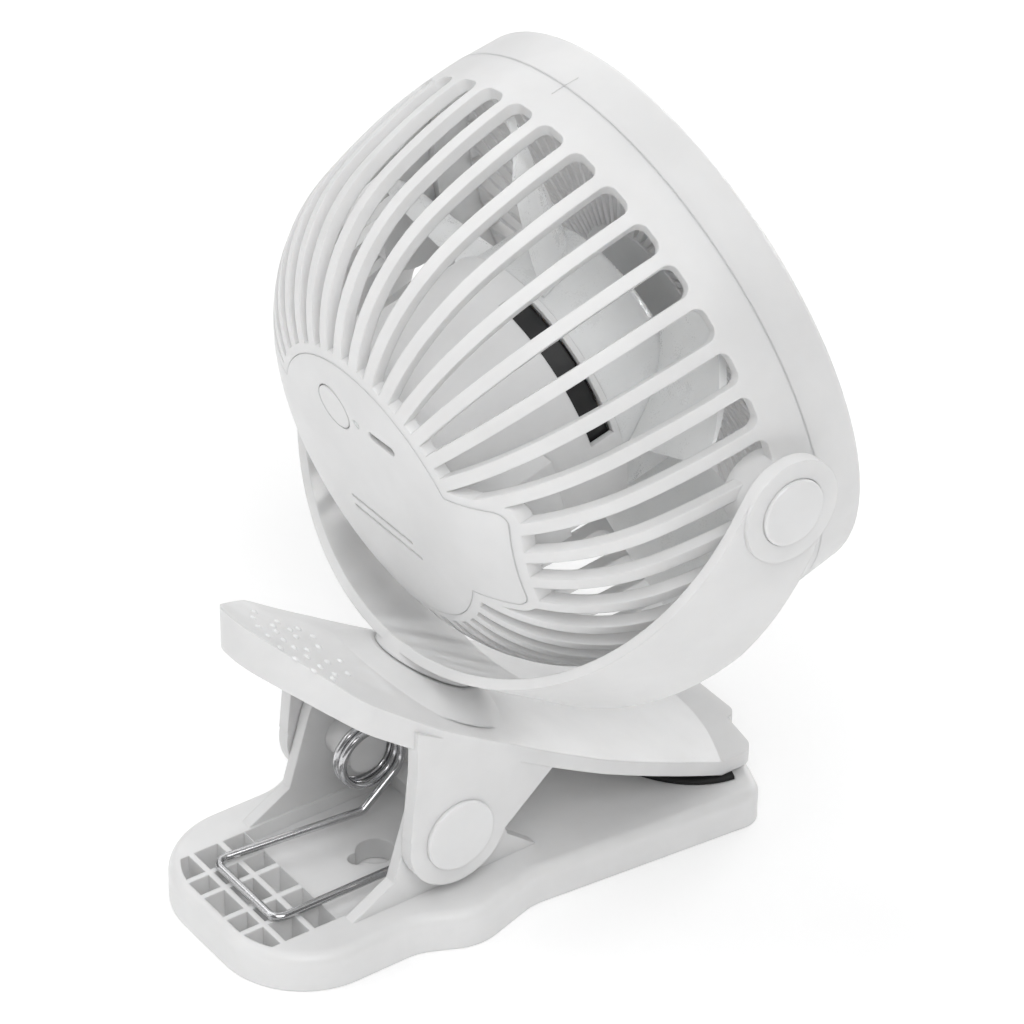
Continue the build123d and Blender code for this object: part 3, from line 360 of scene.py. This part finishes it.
# where the grip bumps stand on the handle: across it and along it, in millimetres
BUMPS = (
    (11.3, 27.9), (5.3, 32.0), (-0.6, 34.5), (4.5, 27.5), (9.2, 23.5), (-4.4, 34.5), (0.6, 29.3),
    (-3.4, 30.1), (1.9, 23.4), (5.9, 22.4), (8.8, 18.4), (-9.4, 34.7), (-6.2, 29.2),
    (-4.6, 24.9), (-0.3, 19.2), (6.0, 16.4), (-9.0, 27.8), (-12.6, 33.1), (-8.1, 22.1),
    (-5.1, 16.8), (-12.2, 26.6), (-15.6, 30.4), (-13.9, 24.0), (-11.2, 18.9), (-16.4, 26.2),
)
grip = bmesh.new()
for across, along in BUMPS:
    foot = Vector((across, along, lever_top(across, along))) * MM
    ahead = Vector((across, along + 1, lever_top(across, along + 1))) * MM
    aside = Vector((across + 1, along, lever_top(across + 1, along))) * MM
    bump_on(grip, foot, (aside - foot).cross(ahead - foot).normalized())
finish_piece("grip_bumps", grip, abs_bumps_painted_highlight, "upper_jaw")


# ---- spring -------------------------------------------------------------------------------------
# its lower leg stays on the base and its upper leg goes with the lever, so that the coil between
# them winds up; here the spring's mesh is copied, in place, into a piece of its own, and the part
# is hidden
sprung = bpy.data.objects.new("sprung_wire", nodes["torsion_spring"].data.copy())
bpy.context.scene.collection.objects.link(sprung)
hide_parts("torsion_spring")
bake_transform(sprung)


# ---- seam of the head ---------------------------------------------------------------------------
# where the head's axis crosses its tilt axis, which way it blows, and where its crown is
HEAD = Vector((0, -49.3018, 117.8005)) * MM
OUTLET = Vector((0, -cos(HEAD_TILT), sin(HEAD_TILT)))
CROWN = Vector((0, sin(HEAD_TILT), cos(HEAD_TILT)))
# the joint between the rear shell and the front ring: its radius, and how far ahead of the tilt
# axis it starts and ends, in millimetres
SEAM_RADIUS, SEAM_START, SEAM_END = 67.5, 11.9, 12.05
# the lip in the joint: how deep it goes, how far it stays below the skin and how far it laps the
# two edges
LIP_DEPTH, LIP_BELOW_SKIN, LIP_LAP = 1.2, 0.01, 0.02
# the witness line: turned a little from the crown, with its half width, and how far it goes under
# the skin and stands above it
WITNESS_TURN, WITNESS_HALF = radians(-1.0), 0.09
WITNESS_SUNK, WITNESS_PROUD = 0.3, 0.04
# the skin's radius and how far ahead it is, along the witness line
WITNESS_TRAIL = (
    (67.458, 8.6), (67.493, 10.6), (SEAM_RADIUS, SEAM_START), (SEAM_RADIUS, SEAM_END),
    (67.34, 15.6),
)
BAR_FACES = (
    (0, 1, 3, 2), (4, 5, 7, 6), (0, 1, 5, 4), (2, 3, 7, 6), (0, 2, 6, 4), (1, 3, 7, 5),
)


def on_head(radius, ahead, turned):
    """A point in the head's own measures: how far from its axis, how far ahead, and how far round
    from the crown."""
    out = CROWN * cos(turned) + Vector((1, 0, 0)) * sin(turned)
    return HEAD + (out * radius + OUTLET * ahead) * MM


def swept_ring(mesh, profile, around=240):
    """Adds a ring with a closed (radius, ahead) profile, in millimetres."""
    loops = [
        [mesh.verts.new(on_head(radius, ahead, 2 * pi * k / around)) for radius, ahead in profile]
        for k in range(around)
    ]
    for loop, following in zip(loops, loops[1:] + loops[:1]):
        for k in range(len(profile)):
            m = (k + 1) % len(profile)
            mesh.faces.new((loop[k], loop[m], following[m], following[k]))


# the front ring's lip fills the joint to just under the skin, so that the seam is only a faint
# line: a painted shade line, from the lip's darker colour
lip_outer, lip_inner = SEAM_RADIUS - LIP_BELOW_SKIN, SEAM_RADIUS - LIP_DEPTH
lip_rear, lip_front = SEAM_START - LIP_LAP, SEAM_END + LIP_LAP
lip = bmesh.new()
swept_ring(lip, (
    (lip_inner, lip_rear),
    (lip_outer, lip_rear),
    (lip_outer, lip_front),
    (lip_inner, lip_front),
))
finish_piece("seam_lip", lip, abs_witness_and_seam_shade, "head")

# short witness line that the mould left across the seam at the crown
half_turn = WITNESS_HALF / SEAM_RADIUS
witness = bmesh.new()
for near, far in zip(WITNESS_TRAIL, WITNESS_TRAIL[1:]):
    corners = [
        witness.verts.new(on_head(radius + lift, ahead, WITNESS_TURN + side * half_turn))
        for radius, ahead in (near, far)
        for lift in (-WITNESS_SUNK, WITNESS_PROUD)
        for side in (-1, 1)
    ]
    for face in BAR_FACES:
        witness.faces.new([corners[k] for k in face])
finish_piece("seam_witness", witness, abs_witness_and_seam_shade, "head")


# ---- floor, light and camera --------------------------------------------------------------------
KEYHOLE = (0, 6.5 * MM, 0)
DARK_WITHIN, LIT_BEYOND = 14 * MM, 20 * MM  # from the keyhole's middle
FLOOR_GLOW, FLOOR_SIZE, FLOOR_DROP = 0.17, 8, 0.0002


def paper_floor():
    """Matt white paper sweep with a faint fibre and no gloss. A little light from below keeps the
    shadow soft, and fades out round the keyhole, which shows dark."""
    made, tree, shader, place = material(
        "paper_sweep", Roughness=0.95, Emission_Color=linear("#FFFFFF")
    )
    from_keyhole = add(tree, "VectorMath", {0: place, 1: KEYHOLE}, operation="DISTANCE")
    glow = add(tree, "MapRange", {
        "Value": from_keyhole.outputs["Value"], "From Min": DARK_WITHIN, "From Max": LIT_BEYOND,
        "To Min": 0.0, "To Max": FLOOR_GLOW,
    })
    tree.links.new(glow.outputs[0], shader.inputs["Emission Strength"])
    fibre = add(tree, "TexNoise", {"Vector": place, "Scale": per_metre(2), "Detail": 3.0})
    tint(tree, shader, fibre.outputs["Fac"], ((0.3, "#F7F7F7"), (0.7, "#FAFAFA")))
    return made


bpy.ops.mesh.primitive_plane_add(size=FLOOR_SIZE, location=(0, 0, -FLOOR_DROP))
floor = bpy.context.object
floor.name = "floor"
floor.data.materials.append(paper_floor())

STUDIO_GLOW = 0.21
world = bpy.data.worlds.new("studio")
bpy.context.scene.world = world
world.use_nodes = True
surround = world.node_tree.nodes["Background"]
surround.inputs["Color"].default_value = linear("#FFFFFF")
surround.inputs["Strength"].default_value = STUDIO_GLOW

# the photograph's viewpoint, as solved from the object's own points
AIM = Vector((-68.06, 17.64, 140.38)) * MM
AZIMUTH, ELEVATION, ROLL = radians(233.763), radians(34.132), radians(0.740)
DISTANCE = 861.34 * MM
back = Vector((sin(AZIMUTH) * cos(ELEVATION), -cos(AZIMUTH) * cos(ELEVATION), sin(ELEVATION)))
level = Vector((0, 0, 1)).cross(back).normalized()
upright = back.cross(level)
right = level * cos(ROLL) + upright * sin(ROLL)
above = upright * cos(ROLL) - level * sin(ROLL)


def softbox(name, place, aim, size, power):
    """A square area light at a place, facing a point."""
    lamp = bpy.data.lights.new(name, "AREA")
    lamp.size = size
    lamp.energy = power
    holder = bpy.data.objects.new(name, lamp)
    holder.location = place
    holder.rotation_euler = (aim - place).to_track_quat("-Z", "Y").to_euler()
    bpy.context.scene.collection.objects.link(holder)


# softboxes round the middle of the object: how far right of it, above it and towards the camera, in
# metres, the side of the square in metres, and the power in watts
MIDDLE = Vector((0, -0.01, 0.1))
SOFTBOXES = (
    ("key", -0.5, 0.9, 0.35, 0.9, 3.0),
    ("overhead", 0, 1.0, -0.3, 1.2, 3.6),
    ("front", 0.15, 0.35, 1.1, 0.9, 8.6),
    ("left_fill", -1.0, 0.2, 0.4, 0.9, 2.1),
    ("far_rim", 0.6, 0.7, -0.7, 0.42, 2.4),
)
for name, rightwards, upwards, nearer, side, watts in SOFTBOXES:
    place = MIDDLE + right * rightwards + above * upwards + back * nearer
    softbox(name, place, MIDDLE, side, watts)

# the white room seen through the outlet: a narrow beam that covers the front grille and no more
BEAM_AWAY, BEAM_RADIUS = 0.65, 0.10  # in metres
BEAM_WATTS, BEAM_WIDTH, BEAM_BLEND = 14.0, radians(11.0), 0.15
beam = bpy.data.lights.new("outlet_glow", "SPOT")
beam.energy = BEAM_WATTS
beam.spot_size = BEAM_WIDTH
beam.spot_blend = BEAM_BLEND
beam.shadow_soft_size = BEAM_RADIUS
beam_holder = bpy.data.objects.new("outlet_glow", beam)
beam_holder.location = HEAD + OUTLET * BEAM_AWAY
beam_holder.rotation_euler = (-OUTLET).to_track_quat("-Z", "Y").to_euler()
bpy.context.scene.collection.objects.link(beam_holder)

FOCAL_PIXELS, FRAME_PIXELS, SENSOR_MM = 4398.5, 1024, 36.0
CLIP_NEAR, CLIP_FAR = 0.05, 20.0  # in metres
camera_data = bpy.data.cameras.new("camera")
camera_data.sensor_width = SENSOR_MM
camera_data.lens = FOCAL_PIXELS / FRAME_PIXELS * SENSOR_MM
camera_data.clip_start, camera_data.clip_end = CLIP_NEAR, CLIP_FAR
camera = bpy.data.objects.new("camera", camera_data)
stand = AIM + back * DISTANCE
camera.matrix_world = Matrix((
    (right.x, above.x, back.x, stand.x),
    (right.y, above.y, back.y, stand.y),
    (right.z, above.z, back.z, stand.z),
    (0, 0, 0, 1),
))
bpy.context.scene.collection.objects.link(camera)
bpy.context.scene.camera = camera
bpy.context.scene.view_settings.view_transform = "Standard"
